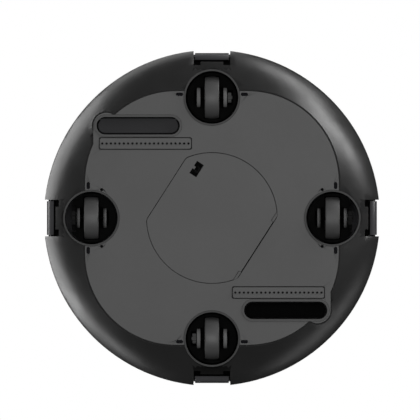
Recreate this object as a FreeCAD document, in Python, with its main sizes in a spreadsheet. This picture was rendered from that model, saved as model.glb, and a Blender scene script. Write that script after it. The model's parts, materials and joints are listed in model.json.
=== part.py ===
import FreeCAD, Part
import math
import os
import re
import Sketcher

# Robot vacuum, 340 mm across, millimetres. Origin on the floor under its centre, +Z up, +Y forwards.
# It stands on two swivelling casters (front, rear) and two sprung drive wheels (left, right).

DIMENSIONS = {
    # casing
    "rim_radius": 170, "rim_height": 40, "plate_height": 9, "plate_thickness": 2.5, "wall": 2.5,
    "plate_half": 128, "plate_corner": 91.5, "plate_gap": 0.4, "deck_height": 86, "deck_round": 9,
    "waist_radius": 161.5, "lower_flange_height": 44, "upper_flange_height": 72.5,
    "deck_rim_radius": 168, "housing_radius": 169.5,
    # levels in the bowl's loft: height, half side and corner of each section
    "bowl_low_height": 18, "bowl_low_half": 148, "bowl_low_corner": 128,
    "bowl_high_height": 28, "bowl_high_half": 161.5, "bowl_high_corner": 155,
    "inside_base_half": 135.5, "inside_base_corner": 105,
    "inside_low_height": 20, "inside_low_half": 147.3, "inside_low_corner": 125,
    "inside_high_height": 30, "inside_high_half": 160, "inside_high_corner": 153,
    # wheel wells
    "well_offset": 121.7, "cup_inner": 26.6, "cup_outer": 28.4, "cup_mouth_height": 8.6,
    "cup_top_height": 50.5, "cup_fit": 0.1,
    # wheels
    "wheel_radius": 21.3, "tyre_width": 14.5, "tyre_bore": 16, "tyre_shoulder": 1.4, "tyre_crown": 0.5,
    "hub_width": 12, "axle_radius": 2, "collar_radius": 4.2, "collar_room": 7.6,
    "running_gap": 0.05, "turntable_radius": 24.8, "turntable_height": 19, "turntable_thickness": 2.5,
    "fork_top_height": 47, "fork_top_thickness": 3, "wheel_slot_half_width": 8.2,
    "wheel_slot_half_length": 21.9, "cheek_inner": 11.4, "cheek_thickness": 4, "cheek_radius": 10,
    "cheek_swell": 0.2, "cheek_face_radius": 90,
    "collar_start": 16, "collar_width": 4, "stem_radius": 6, "stem_head_radius": 7.5,
    # gears, module 1
    "tooth_height": 1, "wheel_gear_teeth": 12, "idler_teeth": 24, "pinion_teeth": 10,
    "motor_radius": 9, "motor_length": 30, "shaft_radius": 1.5,
    # suspension
    "spring_offset": 18.5, "spring_radius": 4, "spring_wire": 0.7, "spring_seat_height": 47,
    "spring_stop_height": 65, "bracket_half_width": 8, "bracket_thickness": 3,
    # intakes and strips
    "intake_across": 74.4, "intake_along": 93.1, "intake_half_length": 42, "intake_half_width": 8.85,
    "duct_wall": 2.2, "duct_top_height": 62, "duct_mouth_height": 8.4, "passage_width": 32,
    "passage_height": 18, "lobe_inset": 1, "lobe_radius": 13.2, "lobe_wall": 1.5, "lobe_top_height": 30,
    "flap_half_length": 40.2, "flap_half_width": 7.2, "flap_thickness": 1.5, "flap_pin_offset": 6.4,
    "flap_pin_radius": 1, "flap_pin_reach": 41.2, "flap_low_height": 14.5, "flap_high_height": 34.5,
    "strip_across": 67.1, "strip_along": 75.2, "strip_length": 93.8, "strip_width": 12.5,
    "strip_corner": 2, "strip_groove": 0.9, "strip_rise": 0.6,
    "tuft_pitch": 4.35, "tuft_radius": 1.1, "tuft_depth": 2,
    # service cover
    "cover_angle": 32.7, "cover_radius": 65.6, "cover_chord": 54.3, "cover_round": 7, "cover_gap": 0.65,
    "cover_thickness": 2.3, "cover_hinge_offset": 53.15, "hinge_half_length": 30,
    "hinge_pin_radius": 0.6, "hinge_pin_reach": 35, "hinge_lug_width": 12, "cover_heel": 0.7,
    "latch_across": 39.65, "latch_along": 33.25, "latch_hole_width": 8.1, "latch_hole_length": 14.4,
    "latch_plate_half": 8.5, "latch_plate_thickness": 1.5, "latch_tab_width": 3, "latch_tab_length": 2.2,
    "latch_block_back": 3.7, "latch_block_front": 0.8, "latch_block_half": 3.4,
    # battery and bin
    "battery_length": 96, "battery_width": 68, "battery_bottom": 12, "battery_top": 38,
    "cradle_wall": 2, "cradle_top": 32, "bin_radius": 60.5, "bin_gap": 0.5, "bin_wall": 2,
    "bin_floor_height": 43, "bin_rim_height": 80, "lid_bottom_height": 80.2, "lid_top_height": 86.6,
    "lid_radius": 60.3, "lid_hinge_offset": 50, "lid_hinge_height": 83.6, "lid_pin_radius": 1.5,
    "lid_lug_offset": 18, "lid_lug_width": 4, "lid_corner": 26, "handle_outer": 34, "handle_inner": 28,
    "handle_half_thickness": 1.5, "handle_height": 84.8, "handle_pin_reach": 38,
    "filter_radius": 32, "filter_bottom_height": 71, "fold_pitch": 4, "fold_width": 1.6, "fold_depth": 4,
    # blower and board
    "blower_offset": 110, "blower_radius": 34, "blower_bottom": 14, "blower_top": 48,
    "blower_wall": 2, "chamber_width": 30, "chamber_top": 79, "eye_radius": 14, "impeller_radius": 28,
    "impeller_lift": 13, "impeller_height": 9,
    "blade_count": 9, "blade_half_thickness": 0.6, "blade_sweep": 25,
    "blower_can_radius": 13, "blower_can_height": 10, "blower_shaft_height": 27,
    "chimney_offset": 135, "chimney_depth": 14, "chimney_width": 34,
    "grille_pitch": 3.4, "grille_slot": 1.6, "grille_border": 2,
    "board_offset": 110, "board_length": 84, "board_width": 56, "board_thickness": 1.6,
    "board_height": 24,
    # rim latches
    "notch_half_width": 18.5, "rim_flat": 166, "notch_floor": 158, "pocket_floor": 154.6, "pocket_width": 7,
    "lever_half_width": 17.2, "lever_pin_offset": 162.2, "lever_pin_height": 33,
    "lever_barrel_radius": 3.35, "lever_pin_radius": 1.25, "lever_inner": 160.9, "lever_outer": 165.5,
    "lever_top_height": 62, "grip_inset": 1, "grip_height": 3.5,
    "hook_bottom_height": 57.9, "hook_inner": 158.4, "catch_reach": 160.5,
    "catch_bottom": 55, "catch_top": 57.5, "latch_block_half_width": 22, "latch_block_inner": 150,
    "latch_recess_top": 68,
    # bumpers
    "bumper_inner": 166, "bumper_bottom": 44.5, "bumper_top": 72, "bumper_half_angle": 37,
    "lug_offset": 65, "lug_half": 3, "lug_height": 58, "lug_root": 154.5, "lug_neck": 141,
    "lug_head": 138, "lug_head_length": 2.5, "lug_slot_inner": 140, "lug_slot_outer": 152,
    # small parts
    "button_radius": 8, "button_offset": 13, "button_forward": 92, "button_top": 87,
    "lens_length": 7.1, "lens_width": 3.4, "lens_out": 124.8, "lens_side": 32.7,
    "screw_out": 111.2, "screw_side": 28.6, "screw_head_radius": 1.5, "screw_shank_radius": 0.9,
}

doc = FreeCAD.newDocument("RobotVacuum")
dims = doc.addObject("Spreadsheet::Sheet", "dims")
for row, (alias, value) in enumerate(DIMENSIONS.items(), start=1):
    dims.set(f"A{row}", alias)
    dims.set(f"B{row}", str(value))
    dims.setAlias(f"B{row}", alias)
doc.recompute()

subparts = {}


# ---------------------------------------------------------------- helpers

def linked(text):
    """The expression with every dimension's name pointing at its cell in the sheet."""
    return re.sub(r"[a-z][a-z_]*", lambda word: f"dims.{word[0]}" if word[0] in DIMENSIONS else word[0], text)


def size(text):
    """The expression's present value."""
    return float(dims.evalExpression(linked(text)))


def bind(item, **sizes):
    for name, text in sizes.items():
        item.setExpression(name, linked(text))
    return item


def place(item, x="0", y="0", z="0", turn=0, axis=(0, 0, 1)):
    """Put an object's own origin at a point, turned about an axis by a number of degrees."""
    item.Placement = FreeCAD.Placement(FreeCAD.Vector(0, 0, 0), FreeCAD.Rotation(FreeCAD.Vector(*axis), turn))
    for letter, text in zip("xyz", (x, y, z)):
        item.setExpression(f"Placement.Base.{letter}", linked(text))
    return item


def name_part(item, label):
    item.Label = label
    subparts[label] = item
    return item


def box(low, high):
    """A box between two corners given as expressions."""
    item = doc.addObject("Part::Box", "Box")
    lengths = [f"({top}) - ({bottom})" for bottom, top in zip(low, high)]
    bind(item, Length=lengths[0], Width=lengths[1], Height=lengths[2])
    return place(item, *low)


def cylinder(radius, bottom, top, x="0", y="0"):
    """An upright cylinder between two heights."""
    item = doc.addObject("Part::Cylinder", "Cylinder")
    bind(item, Radius=radius, Height=f"({top}) - ({bottom})")
    return place(item, x, y, bottom)


def bar(radius, start, end, y="0", z="0"):
    """A cylinder lying along X between two places."""
    item = doc.addObject("Part::Cylinder", "Bar")
    bind(item, Radius=radius, Height=f"({end}) - ({start})")
    return place(item, start, y, z, 90, (0, 1, 0))


def cut(base, *tools):
    for tool in tools:
        result = doc.addObject("Part::Cut", "Cut")
        result.Base = base
        result.Tool = tool
        base = result
    return base


def fuse(*pieces):
    result = doc.addObject("Part::MultiFuse", "Fuse")
    result.Shapes = list(pieces)
    return result


def common(first, second):
    result = doc.addObject("Part::Common", "Common")
    result.Base = first
    result.Tool = second
    return result


def group(pieces):
    result = doc.addObject("Part::Compound", "Group")
    result.Links = list(pieces)
    return result


def new_body():
    return doc.addObject("PartDesign::Body", "Body")


def new_sketch(body, plane, offset="0"):
    sketch = body.newObject("Sketcher::SketchObject", "Sketch")
    origin = [item for item in body.Origin.OriginFeatures if item.Role == plane][0]
    sketch.AttachmentSupport = [(origin, "")]
    sketch.MapMode = "FlatFace"
    sketch.setExpression("AttachmentOffset.Base.z", linked(offset))
    return sketch


def constrain(sketch, kind, *details):
    """Add a constraint whose last detail is an expression."""
    index = sketch.addConstraint(Sketcher.Constraint(kind, *details[:-1], size(details[-1])))
    sketch.setExpression(f"Constraints[{index}]", linked(details[-1]))


def arc_between(start, end, centre, turn):
    """The arc from start to end about a centre; turn is 1 to the left and -1 to the right."""
    first, last = (start, end) if turn > 0 else (end, start)
    angles = [math.atan2(spot.y - centre.y, spot.x - centre.x) for spot in (first, last)]
    circle = Part.Circle(centre, FreeCAD.Vector(0, 0, 1), (start - centre).Length)
    return Part.ArcOfCircle(circle, angles[0], angles[1])


def add_outline(sketch, outline):
    """A closed outline: (x, y) ends a straight, (x, y, centre x, centre y, turn) ends an arc."""
    spots = [FreeCAD.Vector(size(point[0]), size(point[1]), 0) for point in outline]
    first = sketch.GeometryCount
    ends = []
    for index, point in enumerate(outline):
        if len(point) == 2:
            sketch.addGeometry(Part.LineSegment(spots[index - 1], spots[index]), False)
            ends.append((1, 2))
        else:
            centre = FreeCAD.Vector(size(point[2]), size(point[3]), 0)
            sketch.addGeometry(arc_between(spots[index - 1], spots[index], centre, point[4]), False)
            ends.append((1, 2) if point[4] > 0 else (2, 1))
    for index, point in enumerate(outline):
        here = first + index
        before = first + (index - 1) % len(outline)
        joint = Sketcher.Constraint("Coincident", before, ends[index - 1][1], here, ends[index][0])
        sketch.addConstraint(joint)
        constrain(sketch, "DistanceX", -1, 1, here, ends[index][1], point[0])
        constrain(sketch, "DistanceY", -1, 1, here, ends[index][1], point[1])
        if len(point) > 2:
            chord = spots[index] - spots[index - 1]
            across = abs(chord.y) >= abs(chord.x)
            kind = "DistanceX" if across else "DistanceY"
            constrain(sketch, kind, -1, 1, here, 3, point[2] if across else point[3])
    return sketch


def padded(outline, bottom, top, plane="XY_Plane"):
    """A body made by padding an outline from one level to another."""
    body = new_body()
    sketch = add_outline(new_sketch(body, plane, bottom), outline)
    pad = body.newObject("PartDesign::Pad", "Pad")
    pad.Profile = sketch
    bind(pad, Length=f"({top}) - ({bottom})")
    return body


def turned(outline, about="V_Axis", plane="XZ_Plane"):
    """A body made by revolving an outline about one of its sketch's axes."""
    body = new_body()
    sketch = add_outline(new_sketch(body, plane), outline)
    revolution = body.newObject("PartDesign::Revolution", "Revolution")
    revolution.Profile = sketch
    revolution.ReferenceAxis = (sketch, [about])
    revolution.Angle = 360
    return body


def stadium(half_length, half_width):
    """A slot with round ends, lying along X."""
    end = f"(({half_length}) - ({half_width}))"
    return [
        (end, f"-({half_width})"),
        (end, half_width, end, "0", 1),
        (f"-{end}", half_width),
        (f"-{end}", f"-({half_width})", f"-{end}", "0", 1),
    ]


def rounded_square(half, corner, spread="0"):
    """A square with round corners, grown all round by spread."""
    flat = f"(({half}) - ({corner}))"
    edge = f"(({half}) + ({spread}))"
    return [
        (edge, flat),
        (flat, edge, flat, flat, 1),
        (f"-{flat}", edge),
        (f"-{edge}", flat, f"-{flat}", flat, 1),
        (f"-{edge}", f"-{flat}"),
        (f"-{flat}", f"-{edge}", f"-{flat}", f"-{flat}", 1),
        (flat, f"-{edge}"),
        (edge, f"-{flat}", flat, f"-{flat}", 1),
    ]


def rectangle(half_x, half_y):
    return [
        (half_x, f"-({half_y})"),
        (half_x, half_y),
        (f"-({half_x})", half_y),
        (f"-({half_x})", f"-({half_y})"),
    ]


def cover_outline(spread, low_chord):
    """A circle cut by two chords square to X, with round corners, grown all round by spread."""
    bend = f"(cover_round + {spread})"
    circle = f"(cover_radius + {spread})"
    reach = f"({circle} / ({circle} - {bend}))"
    outline = []
    for side, chord in ((1, "cover_chord"), (-1, low_chord)):
        edge = f"({side} * ({chord} + {spread}))"
        middle = f"({side} * ({chord} + {spread} - {bend}))"
        rise = f"({side} * sqrt(({circle} - {bend})^2 - {middle}^2))"
        outline += [
            (f"{middle} * {reach}", f"-{rise} * {reach}", "0", "0", 1),
            (edge, f"-{rise}", middle, f"-{rise}", 1),
            (edge, rise),
            (f"{middle} * {reach}", f"{rise} * {reach}", middle, rise, 1),
        ]
    return outline


def around(build):
    """Four copies of a piece built at the +Y side, a quarter turn apart."""
    pieces = []
    for quarter in range(4):
        pieces.append(place(build(), turn=90 * quarter))
    return pieces


def lofted(sections):
    """A smooth loft through rounded squares given as (height, half side, corner radius)."""
    body = new_body()
    sketches = []
    for height, half, corner in sections:
        sketches.append(add_outline(new_sketch(body, "XY_Plane", height), rounded_square(half, corner)))
    loft = body.newObject("PartDesign::AdditiveLoft", "Loft")
    loft.Profile = sketches[0]
    loft.Sections = sketches[1:]
    loft.Ruled = False
    return body


def solid_outline(outline, bottom, top, x="0", y="0", turn=0):
    """A padded outline standing at a point of the plan."""
    return place(padded(outline, bottom, top), x, y, "0", turn)


# ---------------------------------------------------------------- casing

BOWL = [
    ("plate_height", "plate_half + 1.6", "plate_corner + 1.5"),
    ("bowl_low_height", "bowl_low_half", "bowl_low_corner"),
    ("bowl_high_height", "bowl_high_half", "bowl_high_corner"),
    ("rim_height", "rim_radius", "rim_radius - 0.5"),
]
BOWL_INSIDE = [
    ("plate_height + 2 * wall", "inside_base_half", "inside_base_corner"),
    ("inside_low_height", "inside_low_half", "inside_low_corner"),
    ("inside_high_height", "inside_high_half", "inside_high_corner"),
    ("rim_height + 1", "rim_radius - wall", "rim_radius - wall - 0.5"),
]
PLATE_TOP = "plate_height + plate_thickness"
COVER_MIDDLE = "plate_height + cover_thickness / 2"
COVER_TURN = size("cover_angle")
INTAKE_TURN = math.degrees(math.atan2(size("intake_along"), size("intake_across")))
BLOWER_TURN = 135
BOARD_TURN = -45
HINGE_LUG_STARTS = ("hinge_half_length + 0.3", "-hinge_half_length - hinge_lug_width - 0.3")
FLOOR_TOP = "plate_height + plate_thickness + wall"
LOBE_OUT = "intake_across + intake_half_length - intake_half_width - lobe_inset"
LENS_OUTLINE = stadium("lens_length / 2", "lens_width / 2")


def at_both_intakes(build, x="intake_across", y="intake_along"):
    """A piece built at the front right intake and again at the rear left one, half a turn round."""
    return [place(build(), x, y), place(build(), f"-({x})", f"-({y})", "0", 180)]


def plate_outline(spread):
    """The base plate's rounded square, reaching out to a round lobe behind each intake."""
    square = rounded_square("plate_half", "plate_corner", spread)
    pieces = [solid_outline(square, "plate_height - 0.5", PLATE_TOP)]
    radius = f"lobe_radius + ({spread})"
    for turn in (0, 180):
        lobe = cylinder(radius, "plate_height - 0.5", PLATE_TOP, LOBE_OUT, "intake_along")
        skirt = box(
            (f"{LOBE_OUT} - 10", "strip_along", "plate_height - 0.5"),
            (f"{LOBE_OUT} + {radius}", "intake_along", PLATE_TOP),
        )
        pieces.append(place(fuse(lobe, skirt), turn=turn))
    return fuse(*pieces)


def lens_holes(bottom, top):
    """Eight small slots, one each side of every wheel well."""
    pieces = []
    for quarter in range(4):
        for side in ("lens_side", "-lens_side"):
            slot = solid_outline(LENS_OUTLINE, bottom, top, side, "lens_out")
            pieces.append(place(group([slot]), turn=90 * quarter))
    return pieces


def screw_spots():
    """Two places at the inner side of the left well and two at the right one."""
    return [(out, side) for out in ("screw_out", "-screw_out") for side in ("screw_side", "-screw_side")]


def intake_slot(spread, bottom, top):
    outline = stadium(f"intake_half_length + ({spread})", f"intake_half_width + ({spread})")
    return lambda: padded(outline, bottom, top)


def notch_cutter():
    """The notch in the rim with a deeper pocket at each end."""
    notch = box(("-notch_half_width", "notch_floor", "0"), ("notch_half_width", "180", "rim_height + 1"))
    pockets = []
    for low in ("-notch_half_width", "notch_half_width - pocket_width"):
        high = f"{low} + pocket_width"
        pockets.append(box((low, "pocket_floor", "0"), (high, "notch_floor + 1", "rim_height - 2")))
    return fuse(notch, *pockets)


def lever_pin_turned(quarter):
    """A latch lever's hinge pin, at one of the four quarters."""
    rod = bar("lever_pin_radius", "-latch_block_half_width + 1.5", "latch_block_half_width - 1.5",
              "lever_pin_offset", "lever_pin_height")
    return place(group([rod]), turn=90 * quarter)


def hinge_rod(radius):
    """The service cover's hinge axis, in the cover's own directions."""
    rod = doc.addObject("Part::Cylinder", "Rod")
    bind(rod, Radius=radius, Height="2 * hinge_pin_reach")
    return place(rod, "-cover_hinge_offset", "hinge_pin_reach", COVER_MIDDLE, 90, (1, 0, 0))


def rounded_rectangle(half_x, half_y):
    """The strips' outline, with small round corners."""
    inner_x = f"(({half_x}) - strip_corner)"
    inner_y = f"(({half_y}) - strip_corner)"
    return [
        (half_x, inner_y),
        (inner_x, half_y, inner_x, inner_y, 1),
        (f"-{inner_x}", half_y),
        (f"-({half_x})", inner_y, f"-{inner_x}", inner_y, 1),
        (f"-({half_x})", f"-{inner_y}"),
        (f"-{inner_x}", f"-({half_y})", f"-{inner_x}", f"-{inner_y}", 1),
        (inner_x, f"-({half_y})"),
        (half_x, f"-{inner_y}", inner_x, f"-{inner_y}", 1),
    ]


def board_standoffs():
    """Four posts under the main board's corners."""
    posts = []
    for out in ("board_offset - board_width / 2 + 5", "board_offset + board_width / 2 - 5"):
        for side in ("-board_length / 2 + 5", "board_length / 2 - 5"):
            posts.append(cylinder("3", f"{PLATE_TOP} + 1", "board_height", out, side))
    return place(fuse(*posts), turn=BOARD_TURN)


def bin_windows(start, end):
    """The air's ways through the bin's wall: one from each intake and one to the blower."""
    windows = []
    for turn in (INTAKE_TURN, INTAKE_TURN + 180):
        window = box(
            (start, "-passage_width / 2 + duct_wall", "duct_top_height - passage_height + duct_wall"),
            (end, "passage_width / 2 - duct_wall", "duct_top_height - duct_wall"),
        )
        windows.append(place(group([window]), turn=turn))
    outlet = box(
        (start, "-chamber_width / 2 + 3", "blower_top + 18"),
        (end, "chamber_width / 2 - 3", "chamber_top - 3"),
    )
    windows.append(place(group([outlet]), turn=BLOWER_TURN))
    return windows


def lower_shell():
    """The bowl, its flat floor, the lobe bosses, the battery cradle and the blocks that carry the latches."""
    bowl = cut(lofted(BOWL), lofted(BOWL_INSIDE))
    blocks = common(lofted(BOWL), group(around(lambda: group([box(
        ("-latch_block_half_width", "latch_block_inner", "bowl_low_height + 4"),
        ("latch_block_half_width", "rim_radius", "rim_height"),
    )]))))
    bosses = group(at_both_intakes(
        lambda: group([cylinder("lobe_radius + lobe_wall", "plate_height", "lobe_top_height")]),
        LOBE_OUT, "intake_along"))
    cradle = solid_outline(
        rectangle("battery_width / 2 + cradle_wall", "battery_length / 2 + cradle_wall"),
        f"{PLATE_TOP} + 1", "cradle_top", turn=COVER_TURN)
    posts = [cylinder("4", f"{PLATE_TOP} + 1", "20", spot[0], spot[1]) for spot in screw_spots()]
    shell = fuse(bowl, blocks, bosses, cradle, board_standoffs(), *posts)
    battery_hole = solid_outline(
        rectangle("battery_width / 2", "battery_length / 2"), "0", "cradle_top + 1", turn=COVER_TURN)
    latch_pocket = place(group([box(
        ("battery_width / 2", "latch_along - latch_plate_half - 0.7", PLATE_TOP),
        ("cover_chord + 5.7", "latch_along + latch_plate_half + 0.7", f"{FLOOR_TOP} + 1"))]),
        turn=COVER_TURN)
    lug_bars = fuse(*[box(
        ("-cover_hinge_offset - cover_thickness / 2", start, "plate_height + 0.15"),
        ("-cover_hinge_offset + cover_thickness / 2", f"{start} + hinge_lug_width", f"{PLATE_TOP} + 0.5"),
    ) for start in HINGE_LUG_STARTS])
    opening = solid_outline(cover_outline("cover_gap - 0.1", "cover_chord"), "0", FLOOR_TOP)
    hinge_lugs = place(group([common(lug_bars, opening)]), turn=COVER_TURN)
    lug_bores = place(group([hinge_rod("hinge_pin_radius + running_gap")]), turn=COVER_TURN)
    shell = cut(
        shell,
        plate_outline("plate_gap"),
        group(around(lambda: group([
            cylinder("cup_outer + cup_fit", "0", "rim_height", "0", "well_offset"),
        ]))),
        group(at_both_intakes(intake_slot("duct_wall + 0.1", "0", "lobe_top_height + 1"))),
        group(around(notch_cutter)),
        group([lever_pin_turned(quarter) for quarter in range(4)]),
        group(lens_holes("0", "rim_height")),
        group([cylinder("screw_shank_radius", "0", "18", spot[0], spot[1]) for spot in screw_spots()]),
        battery_hole,
        latch_pocket,
    )
    return cut(fuse(shell, hinge_lugs), lug_bores)


def base_plate():
    """The flat plate over the bowl's floor, with every opening that the underside needs."""
    plate = plate_outline("0")
    trim = box(("-200", "-200", "0"), ("200", "200", "plate_height"))
    return cut(
        plate,
        trim,
        group(around(lambda: group([cylinder("cup_outer + cup_fit", "0", "20", "0", "well_offset")]))),
        group(at_both_intakes(intake_slot("duct_wall + 0.1", "0", "20"))),
        group(at_both_intakes(
            lambda: padded(rounded_rectangle("strip_length / 2", "strip_width / 2"), "0", FLOOR_TOP),
            "strip_across", "strip_along")),
        solid_outline(
            cover_outline("cover_gap", "cover_chord"),
            "0", "20", turn=COVER_TURN),
        group(lens_holes("0", "20")),
        group([cylinder("screw_head_radius", "0", "20", spot[0], spot[1]) for spot in screw_spots()]),
    )


def caster_cup():
    """A round cup, closed on top by the plate that the caster's stem turns in."""
    return cut(
        cylinder("cup_outer", "cup_mouth_height", "cup_top_height"),
        cylinder("cup_inner", "0", "cup_top_height - wall"),
        cylinder("stem_radius + running_gap", "0", "60"),
    )


def drive_cup():
    """A round cup, open on top, with a bracket in front and behind that the springs push against."""
    cup = cut(
        cylinder("cup_outer", "cup_mouth_height", "fork_top_height - 2"),
        cylinder("cup_inner", "0", "60"),
    )
    outer = "cup_inner + 0.6 + bracket_thickness"
    top = "spring_stop_height + bracket_thickness"
    brackets = []
    for turn in (0, 180):
        post = box(("-bracket_half_width", "cup_inner + 0.6", "35"), ("bracket_half_width", outer, top))
        arm = box(("-bracket_half_width", "motor_radius + 2.5", "spring_stop_height"),
                  ("bracket_half_width", outer, top))
        brackets.append(place(fuse(post, arm), turn=turn))
    return fuse(cup, *brackets)


def well_cups():
    return group([
        place(caster_cup(), "0", "well_offset"),
        place(caster_cup(), "0", "-well_offset"),
        place(drive_cup(), "well_offset", "0"),
        place(drive_cup(), "-well_offset", "0"),
    ])


def upper_housing():
    """The deck, the bin's well, the bumpers' waist and the recesses that the latches hook into."""
    body = turned([
        ("housing_radius", "lower_flange_height"),
        ("waist_radius", "lower_flange_height"),
        ("waist_radius", "upper_flange_height"),
        ("deck_rim_radius", "upper_flange_height"),
        ("deck_rim_radius", "deck_height - deck_round"),
        ("deck_rim_radius - deck_round", "deck_height", "deck_rim_radius - deck_round",
         "deck_height - deck_round", 1),
        ("bin_radius + bin_gap", "deck_height"),
        ("bin_radius + bin_gap", "bin_floor_height"),
        ("0", "bin_floor_height"),
        ("0", "bin_floor_height - wall"),
        ("bin_radius + bin_gap + wall", "bin_floor_height - wall"),
        ("bin_radius + bin_gap + wall", "deck_height - wall"),
        ("deck_rim_radius - deck_round - 2", "deck_height - wall"),
        ("deck_rim_radius - wall", "deck_height - deck_round - 1"),
        ("deck_rim_radius - wall", "upper_flange_height + wall"),
        ("waist_radius - wall", "upper_flange_height + wall"),
        ("waist_radius - wall", "lower_flange_height - wall"),
        ("housing_radius - wall", "lower_flange_height - wall"),
        ("housing_radius - wall", "rim_height"),
        ("housing_radius", "rim_height"),
    ])
    blocks = group(around(lambda: group([box(
        ("-latch_block_half_width", "latch_block_inner + 2", "rim_height"),
        ("latch_block_half_width", "waist_radius - 1", "upper_flange_height + 1"),
    )])))
    recesses = group(around(lambda: group([
        box(("-notch_half_width", "notch_floor", "rim_height - 1"),
            ("notch_half_width", "rim_radius + 10", "latch_recess_top")),
        box(("-notch_half_width", "rim_flat", "latch_recess_top"),
            ("notch_half_width", "rim_radius + 10", "deck_height + 1")),
    ])))
    catches = group(around(lambda: group([box(
        ("-lever_half_width", "notch_floor - 1", "catch_bottom"),
        ("lever_half_width", "catch_reach", "catch_top"),
    )])))
    lug_slots = []
    for quarter in range(4):
        for side in ("lug_offset", "-lug_offset"):
            slot = box(
                ("lug_slot_inner", f"{side} - lug_half - 2.5", "lug_height - lug_half - 0.5"),
                ("lug_slot_outer", f"{side} + lug_half + 2.5", "lug_height + lug_half + 0.5"),
            )
            lug_slots.append(place(group([slot]), turn=45 + 90 * quarter))
    button_holes = [
        cylinder("button_radius + 0.3", "deck_height - wall - 1", "deck_height + 1", side, "button_forward")
        for side in ("button_offset", "-button_offset")
    ]
    grille_hole = place(group([box(
        ("chimney_offset - chimney_depth / 2", "-chimney_width / 2", "deck_height - wall - 1"),
        ("chimney_offset + chimney_depth / 2", "chimney_width / 2", "deck_height + 1"),
    )]), turn=BLOWER_TURN)
    return cut(
        fuse(cut(fuse(body, blocks), recesses), catches),
        group(lug_slots),
        group(button_holes),
        grille_hole,
        group(bin_windows("bin_radius - 3", "bin_radius + 6")),
    )


def bumper():
    """A quadrant of bumper about +X, with two lugs that slide through the housing's waist."""
    ring = cut(
        cylinder("rim_radius", "bumper_bottom", "bumper_top"),
        cylinder("bumper_inner", "0", "100"),
    )
    reach = "(1.5 * rim_radius)"
    wedge = padded([
        ("0", "0"),
        (f"{reach} * cos(bumper_half_angle)", f"-{reach} * sin(bumper_half_angle)"),
        (f"{reach} * cos(bumper_half_angle)", f"{reach} * sin(bumper_half_angle)"),
    ], "0", "100")
    lugs = []
    for side in ("lug_offset", "-lug_offset"):
        stalk = box(
            ("lug_neck", f"{side} - lug_half", "lug_height - lug_half"),
            ("lug_root", f"{side} + lug_half", "lug_height + lug_half"),
        )
        head = box(
            ("lug_head", f"{side} - lug_half", "lug_height - lug_half - 2"),
            ("lug_head + lug_head_length", f"{side} + lug_half", "lug_height + lug_half + 2"),
        )
        neck = box(
            ("lug_neck - 1", f"{side} - lug_half", "lug_height - lug_half"),
            ("lug_neck + 1", f"{side} + lug_half", "lug_height + lug_half"),
        )
        lugs.append(fuse(stalk, head, neck))
    return fuse(common(ring, wedge), *lugs)


def latch_lever():
    """A lever about its pin at the +Y side: a round barrel, a plate up from it, a hook and a finger ridge."""
    barrel = bar("lever_barrel_radius", "-lever_half_width", "lever_half_width",
                 "lever_pin_offset", "lever_pin_height")
    plate = box(
        ("-lever_half_width", "lever_inner", "lever_pin_height"),
        ("lever_half_width", "lever_outer", "lever_top_height"),
    )
    hook = box(
        ("-lever_half_width + 0.5", "hook_inner", "hook_bottom_height"),
        ("lever_half_width - 0.5", "lever_outer - 1", "lever_top_height"),
    )
    grip = box(
        ("-lever_half_width + grip_inset", "lever_outer - 1", "lever_top_height - grip_height"),
        ("lever_half_width - grip_inset", "rim_flat", "lever_top_height"),
    )
    bore = bar("lever_pin_radius + running_gap", "-lever_half_width - 1", "lever_half_width + 1",
               "lever_pin_offset", "lever_pin_height")
    return cut(fuse(barrel, plate, hook, grip), bore)


# ---------------------------------------------------------------- underside

def brush_strips():
    """A framed strip beside each intake, with a row of blind holes for its tufts."""
    def strip():
        carrier = padded(
            rounded_rectangle("strip_length / 2 - strip_groove", "strip_width / 2 - strip_groove"),
            "plate_height - strip_rise", PLATE_TOP)
        holes = []
        for index in range(-10, 11):
            bottom = "plate_height - strip_rise + tuft_depth"
            holes.append(cylinder("tuft_radius", "0", bottom, f"{index} * tuft_pitch"))
        return cut(carrier, group(holes))
    return group(at_both_intakes(strip, "strip_across", "strip_along"))


def cliff_lenses():
    return group(lens_holes("plate_height + 1", FLOOR_TOP))


def base_screws():
    screws = []
    for out, side in screw_spots():
        head = cut(
            cylinder("screw_head_radius - 0.05", "plate_height + 0.9", PLATE_TOP, out, side),
            cylinder("0.8", "0", "plate_height + 1.7", out, side),
        )
        screws.append(fuse(head, cylinder("screw_shank_radius", f"{PLATE_TOP} - 0.5", "17", out, side)))
    return group(screws)


def service_cover():
    """The battery's cover: a circle cut by two chords, hinged along one of them."""
    panel = solid_outline(
        cover_outline("0", "cover_hinge_offset + cover_heel"),
        "plate_height", "plate_height + cover_thickness")
    latch_hole = box(
        ("latch_across - latch_hole_width / 2", "latch_along - latch_hole_length / 2", "0"),
        ("latch_across + latch_hole_width / 2", "latch_along + latch_hole_length / 2", FLOOR_TOP),
    )
    tab = box(
        ("latch_across + latch_hole_width / 2 - latch_tab_length", "latch_along - latch_tab_width / 2",
         "plate_height"),
        ("latch_across + latch_hole_width / 2 + 1", "latch_along + latch_tab_width / 2",
         "plate_height + cover_thickness"),
    )
    panel = fuse(cut(panel, latch_hole), tab)
    lug_gaps = fuse(*[box(
        ("-cover_chord - 1", start, "0"),
        ("-cover_hinge_offset + 1.7", f"{start} + cover_round * 2", FLOOR_TOP),
    ) for start in ("hinge_half_length", "-hinge_half_length - cover_round * 2")])
    barrel = doc.addObject("Part::Cylinder", "Barrel")
    bind(barrel, Radius="cover_thickness / 2", Height="2 * hinge_half_length")
    place(barrel, "-cover_hinge_offset", "hinge_half_length", COVER_MIDDLE, 90, (1, 0, 0))
    cover = fuse(cut(panel, lug_gaps), barrel, hinge_rod("hinge_pin_radius"))
    return place(cover, turn=COVER_TURN)


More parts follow.
